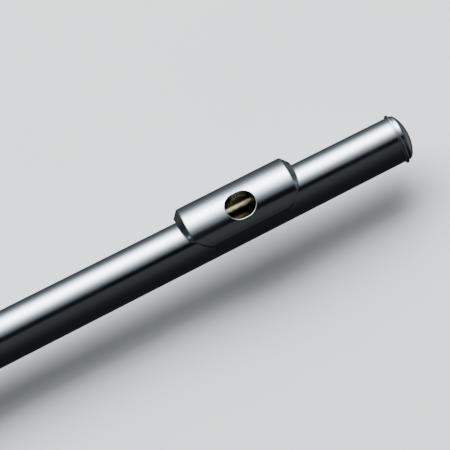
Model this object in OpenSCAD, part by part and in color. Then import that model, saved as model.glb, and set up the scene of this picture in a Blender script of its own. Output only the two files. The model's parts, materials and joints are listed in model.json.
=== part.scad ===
// Concert flute: head joint, body joint and C foot joint with closed-hole keys, offset G.
// Frame: X runs along the bore from the foot's open end to the crown, Z points out of the
// embouchure hole and the top of the body, Y points to the player's side, where the rods are.

/* [Acoustic layout] */
// Air column of the lowest note, half a wavelength
scale_len = 655; // [650:1:660]
// End correction between the embouchure centre and the column's effective end
end_corr = 52; // [50:1:54]
// Inside diameter of the body and the foot
bore_d = 19; // [18.9:0.05:19.1]
// Wall of the drawn tubes
wall = 0.45; // [0.4:0.05:0.5]

/* [Head joint] */
// Outside diameter of the head tube at the crown
crown_end_d = 18; // [18:0.1:18.3]
// Distance from the embouchure centre to the crown's flange
crown_dist = 64; // [62:1:66]
// Distance from the embouchure centre to the stopper plate
stopper_dist = 17.3; // [17:0.1:18]
// Embouchure hole along the tube
emb_len = 12.2; // [11.8:0.1:12.6]
// Embouchure hole across the tube
emb_wid = 10.4; // [10:0.1:10.8]
// Length of the lip plate's face along the tube
lip_len = 43.4; // [42:0.2:46]
// Run of the turned-down edge at each end of the lip plate
lip_flare = 2.4; // [2:0.1:2.6]
// Radius of the lip plate's outer surface
lip_r = 12.2; // [12:0.1:12.4]
// Height of the lip plate's arc centre above the bore axis
lip_rise = 1; // [0.8:0.1:1.2]
// Distance of the lip plate's arc centre from the bore axis towards the player
lip_shift = 1.2; // [1:0.1:1.4]
// Thickness of the lip plate
lip_t = 0.8; // [0.6:0.1:1]

/* [Keywork] */
// Distance of the hinge rod from the tone hole's plane of symmetry
hinge_y = 14.6; // [14.4:0.1:14.8]
// Height of the hinge rod above the bore axis
hinge_z = 9.6; // [9.4:0.1:9.8]
// Height of the tone hole rims above the bore axis
seat_z = 12; // [11.9:0.1:12.1]
// Angle by which an open key stands off its tone hole
key_lift = 9; // [8:0.5:9]
// Outside diameter of the hinge tubes
hinge_d = 3.8; // [3.6:0.1:3.8]
// Diameter of the pivot steels
steel_d = 2.1; // [2:0.05:2.2]
// Turn of the offset G keys away from the rods
g_turn = -14; // [-15:0.5:-14]
// Turn of the low C and C sharp cups on the foot
foot_turn = -10; // [-12:1:-8]

/* [Hidden] */
$fn = 72;
fine_fn = 96;
run_gap = 0.04;
seat_gap = 0.06;
end_gap = 0.06;

// Places along X
emb_x = scale_len - end_corr;
crown_x = emb_x + crown_dist;
foot_joint_x = 113.5;
socket_end_x = 126;
body_start_x = foot_joint_x + 0.3;
body_end_x = 436;
head_start_x = body_end_x + 1;
barrel_x = 412;
barrel_end_x = 460;
taper_x = barrel_end_x + 5;
c_vent_x = 357;
d_trill_x = 381.5;
d_sharp_trill_x = 398;

// Angles about X, from the top towards the player's side
main_phi = 0;
thumb_phi = 115;
g_sharp_phi = -115;
e_flat_phi = -52;

// Radii
bore_r = bore_d / 2;
tube_r = bore_r + wall;
crown_end_r = crown_end_d / 2;
hinge_r = hinge_d / 2;
steel_r = steel_d / 2;
tube_bore_r = steel_r + run_gap;
hinge_phi = atan2(hinge_y, hinge_z);
hinge_dist = norm([hinge_y, hinge_z]);
rib_t = 0.8;
rib_r = tube_r + rib_t;
ball_r = 2.7;
ball_half = 1.9;
spring_r = 0.3;
hook_drop = 3.2;
hinge_at = [hinge_y, hinge_z];
hinge_arm_t = 2.4;
overpass_at = [hinge_y + 3.8, hinge_z + 1.4];
overpass_r = 0.75;
socket_r = tube_r + 1.1;

// Trill rod line
trill_y = 17.8;
trill_z = 5.4;
trill_phi = atan2(trill_y, trill_z);
trill_dist = norm([trill_y, trill_z]);
trill_at = [trill_y, trill_z];
trill_touch_at = [22.8, 10.2];

// Tone holes: [place along X, angle, inside radius]
function hole_x(n) = emb_x - scale_len / pow(2, n / 12) + end_corr;
low_c_hole = [hole_x(1), foot_turn, 7.6];
c_sharp_hole = [hole_x(2), foot_turn, 7.6];
e_flat_hole = [hole_x(3), e_flat_phi, 7.3];
d_hole = [hole_x(4), main_phi, 7.0];
e_hole = [hole_x(5), main_phi, 7.0];
f_hole = [hole_x(6), main_phi, 6.9];
f_sharp_hole = [hole_x(7), main_phi, 6.8];
low_g_hole = [hole_x(8), g_turn, 6.7];
g_sharp_hole = [hole_x(8), g_sharp_phi, 6.3];
high_g_hole = [hole_x(9), g_turn, 6.5];
a_hole = [hole_x(10), main_phi, 6.4];
b_flat_hole = [hole_x(11), main_phi, 6.3];
thumb_hole = [hole_x(12), thumb_phi, 6.2];
c_hole = [c_vent_x, main_phi, 3.6];
d_trill_hole = [d_trill_x, main_phi, 3.9];
d_sharp_trill_hole = [d_sharp_trill_x, main_phi, 3.9];
foot_holes = [low_c_hole, c_sharp_hole, e_flat_hole];
body_holes = [d_hole, e_hole, f_hole, f_sharp_hole, low_g_hole, g_sharp_hole, high_g_hole,
              a_hole, b_flat_hole, thumb_hole, c_hole, d_trill_hole, d_sharp_trill_hole];

// Cup and pad proportions
cup_h = 3.0;
cup_wall = 0.6;
cup_depth = 1.95;
pad_proud = 0.5;
cup_z = seat_z + seat_gap + pad_proud;
function cup_r(hole) = hole[2] < 5 ? hole[2] + 1.7 : hole[2] + 1.9;

// Rollers of the low keys
roller_at = [2.0, 17.1];
roller_r = 1.7;
roller_w = 4.8;
touch_w = 6.8;
pin_r = 0.6;

// Post places on each rod line
main_posts = [129.3, 178, 229, 275.6, 344, 370];
g_posts = [237.6, 270.4];
thumb_posts = [295.5, 356.5];
g_sharp_posts = [216, 253];
trill_posts = [145, 404.6];
trill_bearings = [204, 258, 318, 364];
low_posts = [24, 97.6];
e_flat_posts = [99.2, 117];

// ---------- helpers ----------

// Turns children about the bore axis, from the top towards the player's side
module around(phi) {
    rotate([-phi, 0, 0]) children();
}

// Stands children on the bore axis at x, their Z pointing outwards at angle phi
module at(x, phi, r = 0) {
    translate([x, 0, 0]) around(phi) translate([0, 0, r]) children();
}

// Extrudes a (y, z) outline along X from x0 to x1
module along_x(x0, x1) {
    translate([x0, 0, 0]) rotate([90, 0, 90]) linear_extrude(x1 - x0) children();
}

// Solid round bar along X
module bar_x(x0, x1, r, r_end = -1) {
    translate([x0, 0, 0]) rotate([0, 90, 0])
        cylinder(h = x1 - x0, r1 = r, r2 = r_end < 0 ? r : r_end);
}

// Turns an (r, x) outline about the bore axis
module turned() {
    rotate([0, 90, 0]) rotate_extrude($fn = fine_fn) children();
}

function arc(c, r, a0, a1, n = 6) = [for (i = [0:n]) let (a = a0 + (a1 - a0) * i / n)
    c + r * [cos(a), sin(a)]];

function bezier(a, b, c, d, n = 8) = [for (i = [0:n]) let (t = i / n, s = 1 - t)
    s * s * s * a + 3 * s * s * t * b + 3 * s * t * t * c + t * t * t * d];

function heading(p, i) = let (d = p[min(i + 1, len(p) - 1)] - p[max(i - 1, 0)]) d / norm(d);
function beside(p, i, h) = p[i] + h * [-heading(p, i)[1], heading(p, i)[0]];

// A strip of width w0 to w1 along the points p
module ribbon(p, w0, w1) {
    last = len(p) - 1;
    half = [for (i = [0:last]) (w0 + (w1 - w0) * i / last) / 2];
    polygon(concat([for (i = [0:last]) beside(p, i, half[i])],
                   [for (i = [last:-1:0]) beside(p, i, -half[i])]));
}

// Rounded rectangle, l along x and w along y
module rounded(l, w, c) {
    x = l / 2 - c;
    y = w / 2 - c;
    polygon(concat(arc([x, y], c, 0, 90), arc([-x, y], c, 90, 180),
                   arc([-x, -y], c, 180, 270), arc([x, -y], c, 270, 360)));
}

// Curved finger plate: a piece of shell about the bore axis
module shell_plate(x, phi, r, l, w, c, t = 1.1) {
    intersection() {
        difference() {
            bar_x(x - l, x + l, r + t);
            bar_x(x - l - 1, x + l + 1, r);
        }
        at(x, phi) linear_extrude(2 * r) rounded(l, w, c);
    }
}

// ---------- tubes ----------

module chimney(hole) {
    at(hole[0], hole[1]) {
        cylinder(h = seat_z, r = hole[2] + 0.5);
        translate([0, 0, seat_z - 0.6]) cylinder(h = 0.6, r = hole[2] + 0.85);
    }
}

module hole_cut(hole) {
    at(hole[0], hole[1]) cylinder(h = 2 * seat_z, r = hole[2]);
}

module drilled_tube(x0, x1, holes) {
    difference() {
        union() {
            bar_x(x0, x1, tube_r);
            for (h = holes) chimney(h);
        }
        bar_x(x0 - 1, x1 + 1, bore_r);
        for (h = holes) hole_cut(h);
    }
}

module body_tube() {
    color("silver") drilled_tube(body_start_x, body_end_x, body_holes);
}

module foot_tube() {
    color("silver") drilled_tube(0, foot_joint_x, foot_holes);
}

module foot_end_ring() {
    color("silver") turned() polygon(concat(
        [[tube_r, 0], [tube_r + 0.7, 0]], arc([tube_r + 1.0, 0.9], 0.9, -70, 70, 8),
        [[tube_r + 0.7, 1.9], [tube_r + 0.35, 2.2], [tube_r + 0.35, 4.6], [tube_r, 5]]));
}

module foot_socket() {
    ring_r = socket_r;
    lip_w = 2.4;
    color("silver") turned() polygon(concat(
        [[tube_r, foot_joint_x - 1.2], [ring_r, foot_joint_x - 0.9]],
        [[ring_r, socket_end_x - lip_w], [ring_r + 0.5, socket_end_x - lip_w + 0.3]],
        arc([ring_r + 0.3, socket_end_x - 0.9], 0.6, -30, 90, 5),
        [[tube_r + run_gap, socket_end_x], [tube_r + run_gap, foot_joint_x + 0.15],
         [tube_r, foot_joint_x + 0.1]]));
}

module barrel() {
    sleeve_r = tube_r + 0.75;
    ring_w = 2.2;
    color("silver") turned() polygon(concat(
        [[tube_r, barrel_x], [sleeve_r + 0.3, barrel_x]],
        arc([sleeve_r + 0.15, barrel_x + ring_w / 2], ring_w / 2, -70, 70, 8),
        [[sleeve_r, barrel_x + ring_w + 0.2], [sleeve_r, barrel_end_x - ring_w - 1.4]],
        arc([sleeve_r + 0.25, barrel_end_x - ring_w / 2 - 0.9], ring_w / 2, -70, 70, 8),
        arc([sleeve_r - 0.3, barrel_end_x - 0.5], 0.5, 0, 90, 4),
        [[tube_r + run_gap, barrel_end_x], [tube_r + run_gap, body_end_x + 0.1],
         [tube_r, body_end_x + 0.1]]));
}

// ---------- head joint ----------

function head_r(x) = tube_r + (crown_end_r - tube_r) * (x - taper_x) / (crown_x - taper_x);

module emb_outline(grow = 0) {
    r = emb_wid / 2 + grow;
    straight = (emb_len - emb_wid) / 2;
    polygon(concat(arc([straight, 0], r, -90, 90, 24), arc([-straight, 0], r, 90, 270, 24)));
}

module emb_cut(grow = 0) {
    translate([emb_x, 0, 0]) linear_extrude(2 * lip_r) emb_outline(grow);
}

module head_tube() {
    color("silver") difference() {
        union() {
            bar_x(head_start_x, taper_x, tube_r);
            bar_x(taper_x, crown_x, tube_r, crown_end_r);
        }
        bar_x(head_start_x - 1, taper_x, bore_r);
        bar_x(taper_x - 0.001, crown_x + 0.01, bore_r, crown_end_r - wall);
        emb_cut();
    }
}

// Carries children to the lip plate's arc centre
module on_lip() {
    translate([emb_x, lip_shift, lip_rise]) children();
}

module riser() {
    color("goldenrod") difference() {
        intersection() {
            emb_cut(1.3);
            on_lip() bar_x(-emb_len, emb_len, lip_r - lip_t - 0.02);
        }
        emb_cut();
        bar_x(taper_x, crown_x, tube_r, crown_end_r);
    }
}

lip_far_phi = -70;
lip_near_phi = 92;
lip_mid_phi = (lip_far_phi + lip_near_phi) / 2;
lip_end = lip_len / 2 + lip_flare;
lip_foot_r = 9.2;

// Half length of the lip plate's outline at angle phi, longest on the player's side
function lip_half(phi) = let (mid = 28, reach = phi > mid ? 66 : 98, u = (phi - mid) / reach)
    (lip_end + 0.3) * sqrt(max(0, 1 - pow(abs(u), phi > mid ? 3.4 : 2.6)));

// Outline of the lip plate, seen square on to its middle
module lip_outline() {
    steps = 28;
    side = [for (i = [0:steps]) let (e = (1 - cos(180 * i / steps)) / 2,
                                     phi = lip_far_phi + (lip_near_phi - lip_far_phi) * e)
        [lip_half(phi), lip_r * sin(phi - lip_mid_phi)]];
    polygon(concat(side, [for (i = [steps:-1:0]) [-side[i][0], side[i][1]]]));
}

// Ring with the lip plate's profile: a straight face, and ends turned down towards the tube
module lip_ring() {
    top = lip_len / 2;
    under = lip_r - lip_t;
    side = [[lip_r, top - 0.5], [lip_r - 0.14, top - 0.05], [lip_r - 0.6, top + 0.35],
            [lip_foot_r, lip_end], [lip_foot_r, lip_end - 0.8],
            [under - 0.5, top - 0.25], [under, top - 0.8]];
    last = len(side) - 1;
    turned() polygon(concat(side, [for (i = [last:-1:0]) [side[i][0], -side[i][1]]]));
}

module lip_plate() {
    color("silver") difference() {
        on_lip() intersection() {
            lip_ring();
            around(lip_mid_phi) linear_extrude(2 * lip_r) lip_outline();
        }
        emb_cut();
    }
}

crown_skirt_r = crown_end_r - wall - 0.15;
crown_bead_r = crown_end_r + 0.9;
crown_band_r = crown_end_r - 0.1;
crown_h = 5.3;
crown_thread_depth = 4.2;

module crown() {
    x = crown_x;
    color("silver") difference() {
        turned() polygon(concat(
            [[0, x - 5], [crown_skirt_r - 0.3, x - 5], [crown_skirt_r, x - 4.7], [crown_skirt_r, x]],
            arc([crown_bead_r - 0.55, x + 0.55], 0.55, -90, 90, 8),
            [[crown_band_r, x + 1.2], [crown_band_r, x + 2.15], [crown_band_r - 0.3, x + 2.25],
             [crown_band_r - 0.3, x + 2.4]],
            bezier([crown_band_r - 0.2, x + 2.5], [8, x + 3.5], [4.6, x + crown_h], [0, x + crown_h],
                   14)));
        bar_x(x - 6, x - 1.5, crown_skirt_r - 1.2);
        bar_x(x - 2, x + crown_thread_depth, screw_r + run_gap);
    }
}

stopper_x = emb_x + stopper_dist;
plate_t = 1.2;
cork_len = 17;
screw_r = 2;
nut_t = 1.6;
stopper_gap = 0.05;
function stopper_r(x) = head_r(x) - wall - stopper_gap;

module stopper_plate() {
    x = stopper_x;
    color("gainsboro") bar_x(x, x + plate_t, stopper_r(x), stopper_r(x + plate_t));
}

module stopper_cork() {
    x0 = stopper_x + plate_t;
    x1 = x0 + cork_len;
    color("burlywood") difference() {
        bar_x(x0, x1, stopper_r(x0), stopper_r(x1));
        bar_x(x0 - 1, x1 + 1, screw_r);
    }
}

module stopper_screw() {
    color("silver") bar_x(stopper_x + plate_t, crown_x + 2.5, screw_r);
}

module stopper_nut() {
    x = stopper_x + plate_t + cork_len;
    color("silver") difference() {
        bar_x(x, x + nut_t, 6.5);
        bar_x(x - 1, x + nut_t + 1, screw_r);
    }
}

// ---------- key parts, in a section frame: hole at the top, hinge at (hinge_y, hinge_z) ----------

// Point (y, z) at angle phi and distance r from the bore axis
function polar(phi, r) = r * [sin(phi), cos(phi)];

// Turns children about the section's hinge rod, away from the tone hole
module lifted(lift) {
    translate([0, hinge_y, hinge_z]) rotate([-lift, 0, 0]) translate([0, -hinge_y, -hinge_z]) children();
}

// Raised profile of a cup: dished on top, or flat under a pointed arm
module cup_outer(r, dished) {
    crest = dished ? cup_h - 0.45 : cup_h + 0.35;
    shoulder = dished ? [[r - 1.6, cup_h - 0.04], [r - 2.4, cup_h - 0.2]] : [[r - 2.0, cup_h + 0.12]];
    ease = dished ? 0.03 : -0.04;
    rotate_extrude() polygon(concat([[0, 0], [r - 0.1, 0], [r, 0.1], [r, cup_h - 1.0]],
        arc([r - 1.0, cup_h - 1.0], 1.0, 15, 90, 5), shoulder, [[r * 0.4, crest + ease], [0, crest]]));
}

module cup_hollow(r) {
    translate([0, 0, -1]) cylinder(h = cup_depth + 1, r = r - cup_wall);
}

module pad_disc(x, r) {
    translate([x, 0, cup_z - pad_proud]) cylinder(h = cup_depth + pad_proud, r = r - cup_wall - 0.04);
}

// Pad bonded in the cup of radius r over a hole
module pad(hole, r, lift) {
    color("antiquewhite") around(hole[1]) lifted(lift) pad_disc(hole[0], r);
}

// From the hinge tube up to the cup's wall
module side_arm(x, r) {
    along_x(x - 2, x + 2)
        ribbon(bezier(hinge_at, [hinge_y - 0.4, cup_z + 1.2], [r + 3.2, cup_z + cup_h - 1.1],
                      [r - 0.4, cup_z + cup_h - 1.3]), hinge_arm_t, 1.5);
}

// From a rod at (y, z) over the cup's top to a point at its centre
module pointed_arm(x, r, rod, rise, half_w) {
    top = cup_z + cup_h;
    far = rod[0] + hinge_r;
    intersection() {
        along_x(x - half_w, x + half_w)
            ribbon(concat(bezier(rod, [rod[0], top + rise], [r + 3.2, top + 0.6], [r - 0.6, top + 0.25]),
                          [[r / 2, top + 0.3], [0, top + 0.25]]), hinge_arm_t, 1.1);
        translate([x, 0, 0]) linear_extrude(2 * seat_z)
            polygon([[-0.5, -0.6], [0.5, -0.6], [half_w * 0.55, r * 0.75], [half_w, far],
                     [-half_w, far], [-half_w * 0.55, r * 0.75]]);
    }
}

module hinge_tube(x0, x1) {
    translate([0, hinge_y, hinge_z]) bar_x(x0 + end_gap, x1 - end_gap, hinge_r);
}

module hinge_bore(x0, x1) {
    translate([0, hinge_y, hinge_z]) bar_x(x0 - 1, x1 + 1, tube_bore_r);
}

// Stud under a hinge tube that its needle spring bears on
module spring_hook(x, phi = hinge_phi, dist = hinge_dist) {
    at(x, phi, dist) translate([-0.5, -1.65, -hook_drop - 0.5]) cube([1, 1, hook_drop + 0.8 - hinge_r]);
}

// Arm of width w from the hinge tube under a finger plate, along angles phis at radius r
module touch_arm(x, w, phis, r) {
    along_x(x - w / 2, x + w / 2)
        ribbon(concat([hinge_at], [for (p = phis) polar(p, r)]), hinge_arm_t, 1.4);
}

// A key in its section's frame: cups over holes, on a hinge tube from x0 to x1
module key(holes, pointed, x0, x1, lift, hook_x) {
    around(holes[0][1]) lifted(lift) difference() {
        union() {
            for (h = holes) {
                translate([h[0], 0, cup_z]) cup_outer(cup_r(h), !pointed);
                if (pointed) pointed_arm(h[0], cup_r(h), hinge_at, 0, 2.5);
                else side_arm(h[0], cup_r(h));
            }
            hinge_tube(x0, x1);
            spring_hook(hook_x);
            children();
        }
        hinge_bore(x0, x1);
        for (h = holes) translate([h[0], 0, cup_z]) cup_hollow(cup_r(h));
    }
}

// ---------- body keys ----------

module d_key() {
    color("silver") key([d_hole], false, 131.2, 149.2, key_lift, 147);
}
module d_pad() {
    pad(d_hole, cup_r(d_hole), key_lift);
}
module e_key() {
    color("silver") key([e_hole], false, 149.2, 176.1, key_lift, 155);
}
module e_pad() {
    pad(e_hole, cup_r(e_hole), key_lift);
}
module f_key() {
    color("silver") key([f_hole], false, 179.9, 204, key_lift, 197) overpass(201, 234);
}
module f_pad() {
    pad(f_hole, cup_r(f_hole), key_lift);
}
module f_sharp_key() {
    color("silver") key([f_sharp_hole], true, 204, 227.1, key_lift, 207);
}
module f_sharp_pad() {
    pad(f_sharp_hole, cup_r(f_sharp_hole), key_lift);
}
module a_key() {
    color("silver") key([a_hole], false, 277.5, 297, key_lift, 294);
}
module a_pad() {
    pad(a_hole, cup_r(a_hole), key_lift);
}

// Bar beside the hinge tube that carries a key's motion past its neighbour, x0 to x1
module overpass(x0, x1) {
    along_x(x0, x0 + 2) ribbon([hinge_at, overpass_at], 2, 1.5);
    translate([0, overpass_at[0], overpass_at[1]]) bar_x(x0, x1, overpass_r);
}

// The B flat cup is pinned to a long steel that runs left to the lug by the F key's bar
module b_flat_key() {
    x0 = 297;
    x1 = 342.1;
    lug_x = 231.2;
    lug_w = 2.6;
    color("silver") around(main_phi) lifted(key_lift) {
        difference() {
            union() {
                translate([b_flat_hole[0], 0, cup_z]) cup_outer(cup_r(b_flat_hole), false);
                pointed_arm(b_flat_hole[0], cup_r(b_flat_hole), hinge_at, 0, 2.5);
                hinge_tube(x0, x1);
                spring_hook(322);
            }
            translate([b_flat_hole[0], 0, cup_z]) cup_hollow(cup_r(b_flat_hole));
        }
        translate([0, hinge_y, hinge_z]) {
            bar_x(229.4, x0 + 1, steel_r);
            bar_x(x1 - 1, x1 + 1.6, steel_r);
            bar_x(lug_x, lug_x + lug_w, hinge_r);
        }
        along_x(lug_x, lug_x + lug_w) ribbon([hinge_at, hinge_at + 4.6 * [cos(52), sin(52)]], 1.6, 1.1);
    }
}
module b_flat_pad() {
    pad(b_flat_hole, cup_r(b_flat_hole), key_lift);
}

module c_key() {
    color("silver") key([c_hole], false, 345.9, 368.1, key_lift, 350);
}
module c_pad() {
    pad(c_hole, cup_r(c_hole), key_lift);
}

module g_keys() {
    color("silver") key([low_g_hole, high_g_hole], false, 239.5, 268.5, key_lift, 255);
}
module g_pads() {
    pad(low_g_hole, cup_r(low_g_hole), key_lift);
    pad(high_g_hole, cup_r(high_g_hole), key_lift);
}

module g_sharp_key() {
    color("silver") key([g_sharp_hole], true, 217.9, 251.1, 0, 232) {
        touch_arm(226.5, 3, [66, 74, 80], 19.0);
        shell_plate(226.5, 72, 19.2, 17, 7, 3.3);
    }
}
module g_sharp_pad() {
    pad(g_sharp_hole, cup_r(g_sharp_hole), 0);
}

module thumb_b_key() {
    color("silver") key([thumb_hole], true, 297.4, 334.5, key_lift, 316) {
        touch_arm(309, 3, [48, 38, 28, 18], 15.5);
        shell_plate(309, 25, 15.6, 18, 12, 4.5);
    }
}
module thumb_b_pad() {
    pad(thumb_hole, cup_r(thumb_hole), key_lift);
}
module thumb_b_flat_lever() {
    color("silver") around(thumb_phi) lifted(key_lift) difference() {
        union() {
            touch_arm(345.5, 3, [50, 40, 30, 18], 16.3);
            shell_plate(345.5, 23, 16.4, 12, 14, 4.5);
            hinge_tube(334.5, 354.6);
            spring_hook(339);
        }
        hinge_bore(334.5, 354.6);
    }
}

// ---------- trill keys on their own rod line ----------

// Cup and arm of a trill key
module trill_cup(hole) {
    translate([hole[0], 0, cup_z]) cup_outer(cup_r(hole), true);
    pointed_arm(hole[0], cup_r(hole), trill_at, 1.2, 1.9);
}

module trill_hollow(hole) {
    translate([hole[0], 0, cup_z]) cup_hollow(cup_r(hole));
}

// Finger plate beside the rod, on an arm
module trill_touch(x) {
    along_x(x - 1.4, x + 1.4)
        ribbon(bezier(trill_at, trill_at + [2.8, 0.4], trill_touch_at + [-1.0, -2.6], trill_touch_at),
               hinge_arm_t, 1.2);
    translate([x, trill_touch_at[0], trill_touch_at[1]]) rotate([38, 0, 0])
        linear_extrude(1.2, center = true) rounded(8.4, 7, 3.2);
}

module trill_bar(x0, x1, r) {
    translate([0, trill_y, trill_z]) bar_x(x0, x1, r);
}

module d_trill_key() {
    x0 = 171.4;
    x1 = 386.8;
    color("silver") difference() {
        union() {
            trill_cup(d_trill_hole);
            trill_touch(178.2);
            trill_bar(x0, x1, hinge_r);
            spring_hook(344, trill_phi, trill_dist);
        }
        trill_bar(x0 - 1, x1 + 1, tube_bore_r);
        trill_hollow(d_trill_hole);
    }
}
module d_sharp_trill_key() {
    color("silver") difference() {
        union() {
            trill_cup(d_sharp_trill_hole);
            trill_touch(150.6);
            trill_bar(147, 171.3, hinge_r);
            trill_bar(386.9, 402.6, hinge_r);
            trill_bar(143.8, 405.8, steel_r);
            spring_hook(389, trill_phi, trill_dist);
        }
        trill_hollow(d_sharp_trill_hole);
    }
}
module d_trill_pad() {
    color("antiquewhite") pad_disc(d_trill_hole[0], cup_r(d_trill_hole));
}
module d_sharp_trill_pad() {
    color("antiquewhite") pad_disc(d_sharp_trill_hole[0], cup_r(d_sharp_trill_hole));
}

// ---------- foot keys ----------

module e_flat_key() {
    color("silver") key([e_flat_hole], true, 101.1, 115.1, 0, 112) {
        touch_arm(109.2, 3, [66, 76, 88, 96], 18.0);
        shell_plate(109, 89, 18.2, 15.4, 13, 5);
    }
}
module e_flat_pad() {
    pad(e_flat_hole, cup_r(e_flat_hole), 0);
}

// Finger plate of a low key: it curves from rod_at over the rod and ends in a fork for the roller
module roller_touch(x, rod_at) {
    half = touch_w / 2;
    ear_w = (touch_w - roller_w) / 2 - end_gap;
    edge = roller_at + [roller_r + 0.7, 0.1];
    along_x(x - half, x + half)
        ribbon(bezier(rod_at, rod_at + [0.3, 5.4], edge + [7, 0.6], edge, 10), hinge_arm_t, 1.3);
    for (x0 = [x - half, x + half - ear_w])
        along_x(x0, x0 + ear_w) ribbon([edge + [0.3, 0.1], roller_at, roller_at - [0.9, 0.1]], 1.6, 1.5);
    translate([0, roller_at[0], roller_at[1]]) bar_x(x - half + 0.3, x + half - 0.3, pin_r);
}

module roller(hole, x) {
    color("silver") around(hole[1]) lifted(key_lift) translate([0, roller_at[0], roller_at[1]])
        difference() {
            bar_x(x - roller_w / 2, x + roller_w / 2, roller_r);
            bar_x(x - roller_w, x + roller_w, pin_r + run_gap);
        }
}

c_sharp_touch_x = 92.1;
low_c_touch_x = 84.8;

module c_sharp_key() {
    color("silver") key([c_sharp_hole], true, 60, 95.7, key_lift, 79)
        roller_touch(c_sharp_touch_x, hinge_at);
}
module c_sharp_pad() {
    pad(c_sharp_hole, cup_r(c_sharp_hole), key_lift);
}
module c_sharp_roller() {
    roller(c_sharp_hole, c_sharp_touch_x);
}
module low_c_key() {
    color("silver") key([low_c_hole], true, 25.9, 60, key_lift, 47) {
        overpass(57, low_c_touch_x + touch_w / 2);
        roller_touch(low_c_touch_x, overpass_at);
    }
}
module low_c_pad() {
    pad(low_c_hole, cup_r(low_c_hole), key_lift);
}
module low_c_roller() {
    roller(low_c_hole, low_c_touch_x);
}

// ---------- posts, ribs, steels and springs ----------

// Ball post at angle phi: its bearing lies at distance dist and its base at base_r
module post(x, phi, dist, hole_r, r = ball_r, base_r = rib_r) {
    difference() {
        at(x, phi) {
            translate([0, 0, base_r]) cylinder(h = 0.9, r1 = 2.3, r2 = 1.5);
            translate([0, 0, base_r + 0.5]) cylinder(h = dist - base_r - 1.5, r = 1.2);
            translate([0, 0, dist - r - 0.1]) cylinder(h = 0.6, r = 1.75);
            translate([0, 0, dist]) intersection() {
                sphere(r = r);
                cube([2 * ball_half, 3 * r, 3 * r], center = true);
            }
        }
        at(x, phi, dist) rotate([0, 90, 0]) cylinder(h = 12, r = hole_r, center = true);
    }
}

// Strip on the tube's surface from x0 to x1, centred at angle phi, cut clear of the chimneys
module rib(x0, x1, phi, holes, spread = 13) {
    difference() {
        intersection() {
            bar_x(x0, x1, rib_r);
            around(phi) along_x(x0, x1)
                polygon(2 * tube_r * [[0, 0], [-tan(spread), 1], [tan(spread), 1]]);
        }
        bar_x(x0 - 1, x1 + 1, tube_r);
        for (h = holes)
            if (h[0] > x0 - 9 && h[0] < x1 + 9) at(h[0], h[1]) cylinder(h = 2 * seat_z, r = h[2] + 0.9);
    }
}

module body_ribs() {
    color("silver") {
        rib(126.8, 232, hinge_phi, body_holes);
        rib(272.6, 373, hinge_phi, body_holes);
        rib(234.4, 272.6, hinge_phi + g_turn, body_holes);
        rib(213.4, 255.6, hinge_phi + g_sharp_phi, body_holes);
        rib(293, 359, hinge_phi + thumb_phi, body_holes, 12);
        for (x = concat(trill_posts, trill_bearings)) rib(x - 2.7, x + 2.7, trill_phi, body_holes);
    }
}

module body_posts() {
    color("silver") {
        for (x = main_posts) post(x, hinge_phi, hinge_dist, x > 200 && x < 350 ? tube_bore_r : steel_r);
        for (x = g_posts) post(x, hinge_phi + g_turn, hinge_dist, steel_r);
        for (x = thumb_posts) post(x, hinge_phi + thumb_phi, hinge_dist, steel_r);
        for (x = g_sharp_posts) post(x, hinge_phi + g_sharp_phi, hinge_dist, steel_r);
        for (x = trill_posts) post(x, trill_phi, trill_dist, tube_bore_r);
        for (x = trill_bearings) post(x, trill_phi, trill_dist, hinge_r + run_gap, 2.9);
    }
}

module steel(x0, x1, phi) {
    at(0, phi, hinge_dist) bar_x(x0, x1, steel_r);
}

module body_steels() {
    color("lightsteelblue") {
        steel(main_posts[0] - 1.4, main_posts[2] - 0.1, hinge_phi);
        steel(main_posts[4] + 0.3, main_posts[5] + 1.4, hinge_phi);
        steel(g_posts[0] - 1.4, g_posts[1] + 1.4, hinge_phi + g_turn);
        steel(thumb_posts[0] - 1.4, thumb_posts[1] + 1.4, hinge_phi + thumb_phi);
        steel(g_sharp_posts[0] - 1.4, g_sharp_posts[1] + 1.4, hinge_phi + g_sharp_phi);
    }
}

module foot_ribs() {
    color("silver") {
        rib(20, 101, hinge_phi + foot_turn, foot_holes);
        rib(95.6, 112, hinge_phi + e_flat_phi, foot_holes);
    }
}

module foot_posts() {
    color("silver") {
        for (x = low_posts) post(x, hinge_phi + foot_turn, hinge_dist, steel_r);
        post(e_flat_posts[0], hinge_phi + e_flat_phi, hinge_dist, steel_r);
        post(e_flat_posts[1], hinge_phi + e_flat_phi, hinge_dist, steel_r, base_r = socket_r);
    }
}

module foot_steels() {
    color("lightsteelblue") {
        steel(low_posts[0] - 1.4, low_posts[1] + 1.4, hinge_phi + foot_turn);
        steel(e_flat_posts[0] - 1.4, e_flat_posts[1] + 1.4, hinge_phi + e_flat_phi);
    }
}

// Needle spring from its post at x0 to just past its hook at x1
module needle(x0, x1, phi, dist = hinge_dist) {
    tip = x1 + sign(x1 - x0);
    at(0, phi, dist - hook_drop) bar_x(min(x0, tip), max(x0, tip), spring_r);
}

module body_springs() {
    color("midnightblue") {
        for (ends = [[129.3, 147], [178, 155], [178, 197], [229, 207], [275.6, 294], [344, 322], [370, 350]])
            needle(ends[0], ends[1], hinge_phi);
        needle(g_posts[0], 255, hinge_phi + g_turn);
        needle(g_sharp_posts[1], 232, hinge_phi + g_sharp_phi);
        needle(thumb_posts[0], 316, hinge_phi + thumb_phi);
        needle(thumb_posts[1], 339, hinge_phi + thumb_phi);
        needle(trill_bearings[3], 344, trill_phi, trill_dist);
        needle(trill_posts[1], 389, trill_phi, trill_dist);
    }
}

module foot_springs() {
    color("midnightblue") {
        needle(low_posts[0], 47, hinge_phi + foot_turn);
        needle(low_posts[1], 79, hinge_phi + foot_turn);
        needle(e_flat_posts[0], 112, hinge_phi + e_flat_phi);
    }
}

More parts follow.
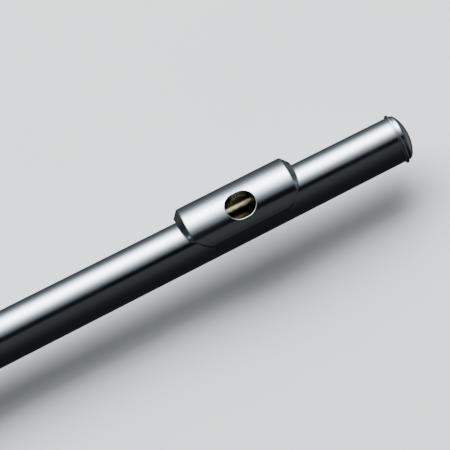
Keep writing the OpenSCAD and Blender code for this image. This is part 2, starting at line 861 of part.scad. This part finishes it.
head_tube();
riser();
lip_plate();
crown();
stopper_cork();
stopper_plate();
stopper_screw();
stopper_nut();
barrel();
body_tube();
body_ribs();
body_posts();
body_steels();
body_springs();
c_key();
c_pad();
b_flat_key();
b_flat_pad();
a_key();
a_pad();
g_keys();
g_pads();
g_sharp_key();
g_sharp_pad();
thumb_b_key();
thumb_b_pad();
thumb_b_flat_lever();
d_trill_key();
d_trill_pad();
d_sharp_trill_key();
d_sharp_trill_pad();
f_sharp_key();
f_sharp_pad();
f_key();
f_pad();
e_key();
e_pad();
d_key();
d_pad();
foot_tube();
foot_socket();
foot_end_ring();
foot_ribs();
foot_posts();
foot_steels();
foot_springs();
e_flat_key();
e_flat_pad();
c_sharp_key();
c_sharp_pad();
c_sharp_roller();
low_c_key();
low_c_pad();
low_c_roller();
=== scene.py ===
"""The looks of the concert flute: refined metal pieces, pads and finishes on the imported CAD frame."""

import json
import math

import bpy
import numpy as np
from mathutils import Matrix, Vector


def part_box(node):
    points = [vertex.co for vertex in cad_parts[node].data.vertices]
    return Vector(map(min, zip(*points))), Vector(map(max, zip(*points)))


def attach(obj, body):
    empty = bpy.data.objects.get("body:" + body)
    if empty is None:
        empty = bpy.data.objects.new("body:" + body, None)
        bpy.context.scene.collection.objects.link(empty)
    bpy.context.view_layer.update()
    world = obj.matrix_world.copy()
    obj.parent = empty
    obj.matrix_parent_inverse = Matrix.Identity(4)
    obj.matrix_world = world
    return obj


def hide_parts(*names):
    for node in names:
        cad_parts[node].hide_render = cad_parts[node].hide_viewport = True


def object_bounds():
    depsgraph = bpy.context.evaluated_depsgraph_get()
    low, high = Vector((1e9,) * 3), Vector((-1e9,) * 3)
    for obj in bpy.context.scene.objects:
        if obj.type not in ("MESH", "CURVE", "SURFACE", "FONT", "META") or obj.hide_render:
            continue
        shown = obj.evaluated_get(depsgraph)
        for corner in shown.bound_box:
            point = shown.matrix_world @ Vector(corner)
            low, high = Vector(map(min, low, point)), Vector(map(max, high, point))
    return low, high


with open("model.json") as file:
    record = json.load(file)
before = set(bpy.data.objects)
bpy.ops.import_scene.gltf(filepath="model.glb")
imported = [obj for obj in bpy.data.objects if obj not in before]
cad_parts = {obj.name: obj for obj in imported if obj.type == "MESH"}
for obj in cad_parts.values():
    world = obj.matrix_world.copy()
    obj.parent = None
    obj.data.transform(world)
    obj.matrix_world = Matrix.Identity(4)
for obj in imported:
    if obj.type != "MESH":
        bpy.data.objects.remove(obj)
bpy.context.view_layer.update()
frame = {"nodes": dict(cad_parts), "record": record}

MM = 0.001
X_AXIS = Vector((1, 0, 0))

# ---------------------------------------------------------------- measures from the frame


def centre_of(node):
    """Middle of a CAD node's box."""
    low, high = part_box(node)
    return (Vector(low) + Vector(high)) / 2


EMB_X = centre_of("lip_plate").x
CROWN_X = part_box("head_tube")[1][0]
TAPER_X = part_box("barrel")[1][0] + 5 * MM
WALL = 0.45 * MM
BODY_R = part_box("head_tube")[1][2] - WALL / 2  # middle of the tube's wall
CROWN_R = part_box("crown")[1][2] - 0.9 * MM - WALL / 2

# ---------------------------------------------------------------- camera

CAMERA_TILT = 21.0  # degrees between the embouchure hole's normal and the line of sight
CAMERA_YAW = 4.0  # degrees by which the crown lies farther away
AXIS_RISE = 26.8  # degrees by which the tube climbs to the right in the picture
CAMERA_DISTANCE = 1.3
SENSOR_WIDTH = 36
PICTURE_WIDTH = 450 / 2.70 * MM  # what the picture's width covers at the hole
HOLE_RIGHT = 5.56 * MM  # from the picture's centre to the hole
HOLE_UP = 7.78 * MM


def view_axes():
    """Right, up and backward unit vectors of the camera."""
    tilt = math.radians(CAMERA_TILT)
    yaw = math.radians(CAMERA_YAW)
    back = Vector((0, -math.sin(tilt), math.cos(tilt))) * math.cos(yaw) - X_AXIS * math.sin(yaw)
    along = (X_AXIS - back * X_AXIS.dot(back)).normalized()
    across = back.cross(along)
    rise = math.radians(AXIS_RISE)
    right = along * math.cos(rise) - across * math.sin(rise)
    up = along * math.sin(rise) + across * math.cos(rise)
    return right, up, back


RIGHT, UP, BACK = view_axes()


def add_camera():
    """Camera at the photograph's viewing angle, looking at the head joint."""
    data = bpy.data.cameras.new("camera")
    data.sensor_width = SENSOR_WIDTH
    data.lens = SENSOR_WIDTH * CAMERA_DISTANCE / PICTURE_WIDTH
    data.clip_end = 20
    camera = bpy.data.objects.new("camera", data)
    bpy.context.scene.collection.objects.link(camera)
    hole = Vector((EMB_X, 0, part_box("lip_plate")[1][2]))
    aim = hole - RIGHT * HOLE_RIGHT - UP * HOLE_UP
    turn = Matrix((RIGHT, UP, BACK)).transposed().to_4x4()
    camera.matrix_world = Matrix.Translation(aim + BACK * CAMERA_DISTANCE) @ turn
    bpy.context.scene.camera = camera


add_camera()

# ---------------------------------------------------------------- light

# The studio's brightness goes by the angle about the flute's axis: degrees from the line of sight,
# turning over the top towards the player. Peaks are radiances, and spreads are in degrees.
BOX_ANGLE, BOX_PEAK, BOX_SPREAD = 63.5, 8.9, 14.4  # broad softbox, high behind the flute
HALO_PEAK, HALO_SPREAD = 0.31, 44  # its glow on the walls about it
WALL_ANGLE, WALL_PEAK, WALL_SPREAD = -22, 0.04, 27  # dim wall in front of the flute
UNDER_PEAK, UNDER_SPREAD = 0.019, 24  # faint light from straight below
ROOM_LEVEL = 0.010
GAP_LEVEL = 0.001
GAP_FROM, GAP_TO = (-18, -10), (3, 14)  # where the dark gap between wall and softbox fades in and out
COOL = (0.92, 1.0, 1.05)  # tint of the studio

# Angles at which the brightness is sampled, closer together about the gap and the softbox.
SAMPLES = [-180, -145, -121, -105, -90, -78, -66, -55, -45, -35, -25, -17, -11, -4, 4, 10, 22, 31,
           41, 51, 62, 73, 85, 99, 114, 135, 155, 180]


def bell(angle, middle, spread):
    return math.exp(-0.5 * ((angle - middle) / spread) ** 2)


def ease(value, low, high):
    """0 up to low, 1 from high, and a smooth step between them."""
    share = min(max((value - low) / (high - low), 0), 1)
    return share * share * (3 - 2 * share)


def studio_level(angle):
    """Radiance of the studio at an angle about the flute."""
    box = BOX_PEAK * bell(angle, BOX_ANGLE, BOX_SPREAD) + HALO_PEAK * bell(angle, BOX_ANGLE, HALO_SPREAD)
    wall = ROOM_LEVEL + WALL_PEAK * bell(angle, WALL_ANGLE, WALL_SPREAD)
    under = UNDER_PEAK * bell(abs(angle), 180, UNDER_SPREAD)
    behind = ease(angle, *GAP_TO)
    front = 1 - ease(angle, *GAP_FROM)
    return GAP_LEVEL + box * behind + wall * front + under


def add_studio():
    """World light: the softbox over the flute, fading to dim walls at both ends."""
    world = bpy.data.worlds.new("studio")
    world.use_nodes = True
    tree = world.node_tree
    back = tree.nodes["Background"]

    def step(kind, inputs, output=0, **settings):
        made = tree.nodes.new(kind)
        for key, value in settings.items():
            setattr(made, key, value)
        for key, value in inputs.items():
            if isinstance(value, bpy.types.NodeSocket):
                tree.links.new(value, made.inputs[key])
            else:
                made.inputs[key].default_value = value
        return made.outputs[output]

    def do(operation, a, b=0.0, c=0.0):
        return step("ShaderNodeMath", {0: a, 1: b, 2: c}, operation=operation)

    direction = tree.nodes.new("ShaderNodeTexCoord").outputs["Generated"]
    parts = tree.nodes.new("ShaderNodeSeparateXYZ")
    tree.links.new(direction, parts.inputs[0])
    turn = do("ADD", do("ARCTAN2", parts.outputs[1], parts.outputs[2]), math.radians(CAMERA_TILT))
    share = do("ADD", do("DIVIDE", do("WRAP", turn, math.pi, -math.pi), 2 * math.pi), 0.5)
    ramp = tree.nodes.new("ShaderNodeValToRGB")
    tree.links.new(share, ramp.inputs[0])
    stops = ramp.color_ramp.elements
    peak = max(studio_level(angle) for angle in SAMPLES)
    for i, angle in enumerate(SAMPLES):
        place = angle / 360 + 0.5
        stop = stops[i] if i < 2 else stops.new(place)
        stop.position = place
    for angle, stop in zip(SAMPLES, stops):
        stop.color = (*(studio_level(angle) / peak * c for c in COOL), 1)
    reach = do("ABSOLUTE", parts.outputs[0])
    fade = {"Value": reach, "From Min": 0.38, "From Max": 0.86, "To Min": 1.0, "To Max": 0.012}
    fade = step("ShaderNodeMapRange", fade, interpolation_type="SMOOTHSTEP")
    right = {"Value": parts.outputs[0], "From Min": 0.45, "From Max": 1.0, "To Min": 0.0, "To Max": 0.15}
    left = {"Value": parts.outputs[0], "From Min": -0.45, "From Max": -1.0, "To Min": 0.0, "To Max": 0.06}
    slope = do("ABSOLUTE", parts.outputs[2])
    high = {"Value": slope, "From Min": 0.04, "From Max": 0.6, "To Min": 0.2, "To Max": 1.6}
    ends = do("ADD", step("ShaderNodeMapRange", right), step("ShaderNodeMapRange", left))
    ends = do("MULTIPLY", ends, step("ShaderNodeMapRange", high, interpolation_type="SMOOTHSTEP"))
    glow = step("ShaderNodeMix", {0: 1.0, 6: ramp.outputs[0], 7: (peak, peak, peak, 1)}, 2,
                data_type="RGBA", blend_type="MULTIPLY")
    glow = step("ShaderNodeMix", {0: 1.0, 6: glow, 7: fade}, 2, data_type="RGBA", blend_type="MULTIPLY")
    glow = step("ShaderNodeMix", {0: 1.0, 6: glow, 7: ends}, 2, data_type="RGBA", blend_type="ADD")
    tree.links.new(glow, back.inputs["Color"])
    back.inputs["Strength"].default_value = 1.0
    bpy.context.scene.world = world


add_studio()


LAMP_X = 0.42  # how far along the flute the lamp hangs


def softbox(name, turn, distance, size, power, tone):
    """Lamp that reflections don't show; turn is its angle about the flute from the line of sight."""
    data = bpy.data.lights.new(name, "AREA")
    data.shape = "RECTANGLE"
    data.size, data.size_y = size
    data.energy = power
    data.color = tone
    light = bpy.data.objects.new(name, data)
    bpy.context.scene.collection.objects.link(light)
    angle = math.radians(turn - CAMERA_TILT)
    toward = Vector((0, math.sin(angle), math.cos(angle)))
    side = X_AXIS.cross(toward)
    turn_matrix = Matrix((X_AXIS, -side, toward)).transposed().to_4x4()
    light.matrix_world = Matrix.Translation(X_AXIS * LAMP_X + toward * distance) @ turn_matrix
    light.visible_camera = False
    light.visible_glossy = False


softbox("floor_softbox", 62, 1.1, (1.6, 0.7), 16, (1.0, 0.95, 0.9))

# ---------------------------------------------------------------- shader helpers


class Shader:
    """A material under construction, with short calls to add and link nodes."""

    def __init__(self, name):
        self.material = bpy.data.materials.new(name)
        self.material.use_nodes = True
        self.tree = self.material.node_tree
        self.surface = self.tree.nodes["Principled BSDF"]
        self.place = self.tree.nodes.new("ShaderNodeTexCoord").outputs["Object"]

    def feed(self, socket, value):
        """Links an output to an input, or sets the input to a number, vector or colour."""
        if isinstance(value, bpy.types.NodeSocket):
            self.tree.links.new(value, socket)
        else:
            socket.default_value = value

    def node(self, kind, inputs, output=0, **settings):
        """Adds a node, and returns one of its outputs."""
        made = self.tree.nodes.new(kind)
        for key, value in settings.items():
            setattr(made, key, value)
        for key, value in inputs.items():
            self.feed(made.inputs[key], value)
        return made.outputs[output]

    def noise(self, stretch, detail=3.0, roughness=0.55):
        """Noise whose grains per metre along X, Y and Z are stretch."""
        spread = self.node("ShaderNodeMapping", {"Vector": self.place, "Scale": stretch})
        wanted = {"Vector": spread, "Scale": 1.0, "Detail": detail, "Roughness": roughness}
        return self.node("ShaderNodeTexNoise", wanted)

    def ramp(self, value, low, high, to_low=0.0, to_high=1.0):
        """Value's stretch low to high, spread over to_low to to_high."""
        wanted = {"Value": value, "From Min": low, "From Max": high, "To Min": to_low, "To Max": to_high}
        return self.node("ShaderNodeMapRange", wanted)

    def math(self, operation, a, b=0.0):
        return self.node("ShaderNodeMath", {0: a, 1: b}, operation=operation)

    def mix(self, factor, a, b):
        """Colour a where factor is 0, and colour b where it is 1."""
        made = self.tree.nodes.new("ShaderNodeMix")
        made.data_type = "RGBA"
        self.feed(made.inputs[0], factor)
        self.feed(made.inputs[6], a)
        self.feed(made.inputs[7], b)
        return made.outputs[2]

    def bump(self, height, depth, under=None):
        """Relief of the given depth in metres, on top of another relief."""
        wanted = {"Height": height, "Distance": depth, "Strength": 1.0}
        if under is not None:
            wanted["Normal"] = under
        return self.node("ShaderNodeBump", wanted)

    def inside_tube(self):
        """1 on the bore's side of a drawn tube, and 0 on its outside."""
        parts = self.node("ShaderNodeSeparateXYZ", {0: self.place}, "X").node
        across = self.math("MULTIPLY", parts.outputs[1], parts.outputs[1])
        high = self.math("MULTIPLY", parts.outputs[2], parts.outputs[2])
        distance = self.math("SQRT", self.math("ADD", across, high))
        middle = self.ramp(parts.outputs[0], TAPER_X, CROWN_X, BODY_R, CROWN_R)
        return self.math("LESS_THAN", distance, middle)

    def set(self, **values):
        for key, value in values.items():
            self.feed(self.surface.inputs[key.replace("_", " ")], value)
        return self.material


def silver(name, bright, aged, gloss, grain, wear=0.2, corner=0.0, dark_bore_painted_streaks=False, dents=0.0):
    """Polished silver plate: fine scratches along the grain, clouded patches, tarnish in the corners, and
    on request a dark olive bore with painted reflection streaks along it.
    """
    s = Shader(name)
    streaks = s.noise(grain, 5.0, 0.6)
    clouds = s.noise((45, 90, 90), 4.0, 0.6)
    rubs = s.noise((170, 260, 260), 5.0, 0.65)
    pits = s.noise((2600, 2600, 2600), 2.0)
    age = s.math("MULTIPLY", s.ramp(clouds, 0.42, 0.72, 0.0, wear), s.ramp(rubs, 0.3, 0.7, 0.5, 1.3))
    if corner:
        shade = s.node("ShaderNodeAmbientOcclusion", {"Distance": 0.0016}, "AO", samples=4)
        dirt = s.math("MULTIPLY", s.ramp(shade, 0.75, 0.25, 0.0, corner), s.ramp(rubs, 0.3, 0.65, 0.4, 1.0))
        age = s.math("MAXIMUM", age, dirt)
    colour = s.mix(age, (*bright, 1), (*aged, 1))
    rough = s.math("ADD", s.ramp(streaks, 0.3, 0.7, gloss, gloss + 0.06), s.math("MULTIPLY", age, 0.3))
    # On the bore's side the colour turns dark olive, with light streaks along the tube that are painted
    # reflections.
    if dark_bore_painted_streaks:
        inside = s.inside_tube()
        drawn = s.noise((6, 640, 640), 0.0)
        stain = s.mix(s.ramp(rubs, 0.35, 0.65), (0.11, 0.095, 0.045, 1), (0.07, 0.06, 0.03, 1))
        # Light lines along the bore: painted reflections.
        stain = s.mix(s.ramp(drawn, 0.50, 0.55), stain, (0.80, 0.76, 0.62, 1))
        colour = s.mix(inside, colour, stain)
        rough = s.math("ADD", rough, s.math("MULTIPLY", inside, 0.06))
    relief = s.bump(streaks, 1.2e-6)
    relief = s.bump(pits, 2.5e-7, relief)
    if dents:
        relief = s.bump(s.noise((70, 70, 70), 1.0), dents, relief)
    return s.set(Base_Color=colour, Metallic=1.0, Roughness=rough, Normal=relief)


def steel(name, base, stain, gloss, drawn):
    """Drawn wire: turning marks across it and stains from oil."""
    s = Shader(name)
    marks = s.noise(drawn, 3.0, 0.5)
    oil = s.noise((120, 400, 400), 4.0, 0.6)
    age = s.ramp(oil, 0.45, 0.75)
    colour = s.mix(age, (*base, 1), (*stain, 1))
    rough = s.math("ADD", s.ramp(marks, 0.3, 0.7, gloss, gloss + 0.1), s.math("MULTIPLY", age, 0.2))
    return s.set(Base_Color=colour, Metallic=1.0, Roughness=rough, Normal=s.bump(marks, 2e-6))


def gilt(name):
    """Unplated warm metal of the chimney, with drawn lines down its wall."""
    s = Shader(name)
    lines = s.noise((900, 900, 60), 4.0, 0.6)
    stain = s.noise((300, 300, 300), 4.0, 0.6)
    colour = s.mix(s.ramp(stain, 0.35, 0.7), (0.27, 0.24, 0.15, 1), (0.13, 0.11, 0.06, 1))
    return s.set(Base_Color=colour, Metallic=1.0, Roughness=s.ramp(lines, 0.3, 0.7, 0.2, 0.34),
                 Normal=s.bump(lines, 3e-6))


def skin(name):
    """Fish skin stretched over felt: translucent, faintly creased, with a soft shine."""
    s = Shader(name)
    veins = s.noise((420, 420, 420), 6.0, 0.7)
    creases = s.noise((160, 900, 900), 5.0, 0.6)
    felt = s.noise((1800, 1800, 1800), 3.0, 0.7)
    colour = s.mix(s.ramp(veins, 0.3, 0.7), (0.88, 0.80, 0.62, 1), (0.95, 0.90, 0.78, 1))
    relief = s.bump(felt, 1.5e-5, s.bump(creases, 3e-5))
    rough = s.ramp(creases, 0.3, 0.7, 0.32, 0.5)
    return s.set(Base_Color=colour, Roughness=rough, Normal=relief, Subsurface_Weight=0.25,
                 Subsurface_Scale=0.0006, Coat_Weight=0.2, Coat_Roughness=0.3)


def bark(name):
    """Cork: brown grains with dark pores."""
    s = Shader(name)
    spread = s.node("ShaderNodeMapping", {"Vector": s.place, "Scale": (700, 900, 900)})
    cells = s.node("ShaderNodeTexVoronoi", {"Vector": spread, "Scale": 1.0, "Randomness": 1.0})
    pores = s.noise((500, 350, 350), 5.0, 0.7)
    colour = s.mix(s.ramp(cells, 0.1, 0.7), (0.50, 0.30, 0.15, 1), (0.67, 0.46, 0.26, 1))
    colour = s.mix(s.ramp(pores, 0.62, 0.72), colour, (0.14, 0.07, 0.03, 1))
    relief = s.bump(pores, 6e-5, s.bump(cells, 5e-5))
    return s.set(Base_Color=colour, Roughness=s.ramp(pores, 0.3, 0.7, 0.7, 0.92), Normal=relief)


materials = {
    "tube_silver": silver("tube_silver", (0.80, 0.86, 0.92), (0.63, 0.65, 0.65), 0.12, (25, 900, 900), 0.16,
                          dark_bore_painted_streaks=True),
    "lip_silver": silver("lip_silver", (0.81, 0.87, 0.93), (0.65, 0.67, 0.67), 0.11, (30, 800, 800), 0.15),
    "fitting_silver": silver("fitting_silver", (0.79, 0.84, 0.89), (0.38, 0.34, 0.28), 0.12,
                             (400, 400, 400), 0.25, 0.8),
    "key_silver": silver("key_silver", (0.80, 0.85, 0.90), (0.42, 0.38, 0.32), 0.12, (350, 350, 350),
                         0.5, 0.75, dents=7e-4),
    "riser_gilt": gilt("riser_gilt"),
    "pivot_steel": steel("pivot_steel", (0.55, 0.57, 0.60), (0.25, 0.22, 0.19), 0.2, (2500, 150, 150)),
    "blued_steel": steel("blued_steel", (0.045, 0.075, 0.20), (0.10, 0.06, 0.05), 0.18, (200, 900, 900)),
    "pad_skin": skin("pad_skin"),
    "cork": bark("cork"),
}
slot_of = {p["node"]: p["material_slot"] for p in frame["record"]["subparts"]}
body_of = {n: body for body, nodes in frame["record"]["behaviour"]["bodies"].items() for n in nodes}

CORNER_ANGLE = 32  # degrees above which an edge stays crisp
WELDED = ("crown", "lip_plate")  # nodes whose curve runs across several CAD faces
WELD_REACH = 0.001 * MM


def dress_node(name, obj):
    """Gives a CAD node its finish and smooth curves, and keeps its corners crisp."""
    obj.data.materials.clear()
    obj.data.materials.append(materials[slot_of[name]])
    obj.data.shade_smooth()
    obj.data.set_sharp_from_angle(angle=math.radians(CORNER_ANGLE))
    if name in WELDED:
        weld = obj.modifiers.new("joined_faces", "WELD")
        weld.merge_threshold = WELD_REACH
        split = obj.modifiers.new("true_corners", "EDGE_SPLIT")
        split.split_angle = math.radians(CORNER_ANGLE)
        split.use_edge_sharp = False


for node_name, node_object in frame["nodes"].items():
    dress_node(node_name, node_object)

# ---------------------------------------------------------------- turned pieces


def lathe(name, profile, centre, axis, node, slot, segments=64):
    """Turned piece: profile is (along, radius) pairs in metres from the centre along axis."""
    axis = axis.normalized()
    side = axis.orthogonal().normalized()
    other = axis.cross(side)
    verts = []
    rings = []
    for along, radius in profile:
        if radius <= 0:
            rings.append([len(verts)])
            verts.append(centre + axis * along)
            continue
        rings.append(list(range(len(verts), len(verts) + segments)))
        for k in range(segments):
            turn = 2 * math.pi * k / segments
            verts.append(centre + axis * along + (side * math.cos(turn) + other * math.sin(turn)) * radius)
    faces = []
    for a, b in zip(rings, rings[1:]):
        for k in range(segments):
            n = (k + 1) % segments
            if len(a) == 1:
                faces.append((a[0], b[k], b[n]))
            elif len(b) == 1:
                faces.append((a[k], b[0], a[n]))
            else:
                faces.append((a[k], b[k], b[n], a[n]))
    mesh = bpy.data.meshes.new(name)
    mesh.from_pydata([tuple(v) for v in verts], [], faces)
    mesh.materials.append(materials[slot])
    mesh.shade_smooth()
    piece = bpy.data.objects.new(name, mesh)
    bpy.context.scene.collection.objects.link(piece)
    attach(piece, body_of[node])
    return piece


DISC_GAP = 4 * MM  # least space along the flute between two discs of one pad node


def discs_of(node):
    """Centre, axis towards the bore, radius and thickness of each disc in a pad node."""
    points = np.array([v.co[:] for v in frame["nodes"][node].data.vertices])
    order = np.argsort(points[:, 0])
    places = points[order]
    gaps = np.where(np.diff(places[:, 0]) > DISC_GAP)[0]
    for group in np.split(places, gaps + 1):
        middle = (group.max(axis=0) + group.min(axis=0)) / 2
        _, _, turns = np.linalg.svd(group - group.mean(axis=0), full_matrices=False)
        spans = [np.ptp((group - middle) @ t) for t in turns]
        axis = turns[int(np.argmin(spans))]
        inward = -np.array([0, middle[1], middle[2]])
        if axis @ inward < 0:
            axis = -axis
        flat = (group - middle) - np.outer((group - middle) @ axis, axis)
        radius = np.linalg.norm(flat, axis=1).max()
        along = (group - middle) @ axis
        centre = middle + axis * (along.max() + along.min()) / 2
        yield Vector(centre), Vector(axis), float(radius), float(np.ptp(along))


def add_pads():
    """Felt pads in fish skin: a crowned face with the ring that the tone hole's rim has pressed in."""
    for node in sorted(n for n in slot_of if slot_of[n] == "pad_skin"):
        for i, (centre, axis, r, t) in enumerate(discs_of(node)):
            h = t / 2
            seat = r - 1.26 * MM if r > 5.5 * MM else r - 1.06 * MM
            ring = 0.55 * MM
            profile = [(-h, 0), (-h, r * 0.6), (-h, r - 0.15 * MM), (-h + 0.15 * MM, r),
                       (h - 0.55 * MM, r), (h - 0.3 * MM, r - 0.04 * MM), (h - 0.1 * MM, r - 0.18 * MM),
                       (h - 0.02 * MM, r - 0.4 * MM), (h, r - 0.6 * MM)]
            profile += [(h - 0.02 * MM, seat + ring), (h - 0.08 * MM, seat + ring / 2),
                        (h - 0.10 * MM, seat), (h - 0.08 * MM, seat - ring / 2),
                        (h - 0.02 * MM, seat - ring), (h, seat - 2 * ring),
                        (h - 0.01 * MM, r * 0.4), (h - 0.03 * MM, r * 0.2), (h - 0.05 * MM, 0)]
            pad = lathe(f"{node}_felt_{i}", profile, centre, axis, node, "pad_skin", 72)
            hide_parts(node)


def add_cork():
    """Stopper cork with eased rims and the slight waist it takes in use."""
    low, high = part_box("stopper_cork")
    h = (high[0] - low[0]) / 2
    r0 = (high[1] - low[1]) / 2 - 0.12 * MM
    bore = 2.0 * MM
    profile = [(-h, bore), (-h, r0 - 0.5 * MM), (-h + 0.12 * MM, r0 - 0.2 * MM), (-h + 0.5 * MM, r0),
               (-h * 0.3, r0 - 0.07 * MM), (h * 0.3, r0 - 0.09 * MM), (h - 0.5 * MM, r0 - 0.02 * MM),
               (h - 0.12 * MM, r0 - 0.25 * MM), (h, r0 - 0.5 * MM), (h, bore), (-h, bore)]
    piece = lathe("stopper_cork_turned", profile, centre_of("stopper_cork"), X_AXIS, "stopper_cork", "cork")
    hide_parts("stopper_cork")


RIM_R = 0.2 * MM
HOLE_STRAIGHT = 0.9 * MM  # half the straight stretch of the hole's long sides
HOLE_BEND = 5.2 * MM  # radius of its round ends
LIP_REACH = 70  # degrees by which the plate's arc passes its top on the camera's side
RIM_AROUND, RIM_ACROSS = 96, 10


def add_embouchure_rim():
    """Softly rounded edge of the embouchure hole, which catches the light as a thin line."""
    low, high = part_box("lip_plate")
    r = (high[1] - low[1]) / (1 + math.sin(math.radians(LIP_REACH)))
    shift, rise = high[1] - r, high[2] - r
    around, across = RIM_AROUND, RIM_ACROSS
    verts, faces = [], []
    for i in range(around):
        turn = 2 * math.pi * i / around
        out = Vector((math.cos(turn), math.sin(turn), 0))
        x = EMB_X + HOLE_BEND * out.x + (HOLE_STRAIGHT if out.x > 0 else -HOLE_STRAIGHT)
        y = HOLE_BEND * out.y
        up = Vector((0, y - shift, math.sqrt(r * r - (y - shift) ** 2))) / r
        aside = (out - up * out.dot(up)).normalized()
        spot = Vector((x, shift + up.y * r, rise + up.z * r))
        core = spot + aside * RIM_R * 0.55 - up * RIM_R * 0.8
        for k in range(across):
            a = 2 * math.pi * k / across
            verts.append(core + aside * RIM_R * math.cos(a) + up * RIM_R * math.sin(a))
    for i in range(around):
        for k in range(across):
            n, m = (i + 1) % around, (k + 1) % across
            faces.append((i * across + k, n * across + k, n * across + m, i * across + m))
    mesh = bpy.data.meshes.new("embouchure_rim")
    mesh.from_pydata([tuple(v) for v in verts], [], faces)
    mesh.materials.append(materials["lip_silver"])
    mesh.shade_smooth()
    rim = bpy.data.objects.new("embouchure_rim", mesh)
    bpy.context.scene.collection.objects.link(rim)
    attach(rim, "head")


add_pads()
add_cork()
add_embouchure_rim()

# ---------------------------------------------------------------- floor


def add_floor():
    """Pale matt floor that the flute lies on."""
    s = Shader("floor_paper")
    cloud = s.noise((9, 9, 9), 3.0)
    grain = s.noise((700, 700, 700), 2.0)
    colour = s.mix(cloud, (0.72, 0.73, 0.74, 1), (0.79, 0.79, 0.79, 1))
    paper = s.set(Base_Color=colour, Roughness=0.7, Normal=s.bump(grain, 2e-5))
    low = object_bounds()[0][2]
    mesh = bpy.data.meshes.new("floor")
    reach = 3.0
    corners = [(-reach, -reach, low), (reach, -reach, low), (reach, reach, low), (-reach, reach, low)]
    mesh.from_pydata(corners, [], [(0, 1, 2, 3)])
    mesh.materials.append(paper)
    floor = bpy.data.objects.new("floor", mesh)
    bpy.context.scene.collection.objects.link(floor)
    floor.visible_glossy = False


add_floor()
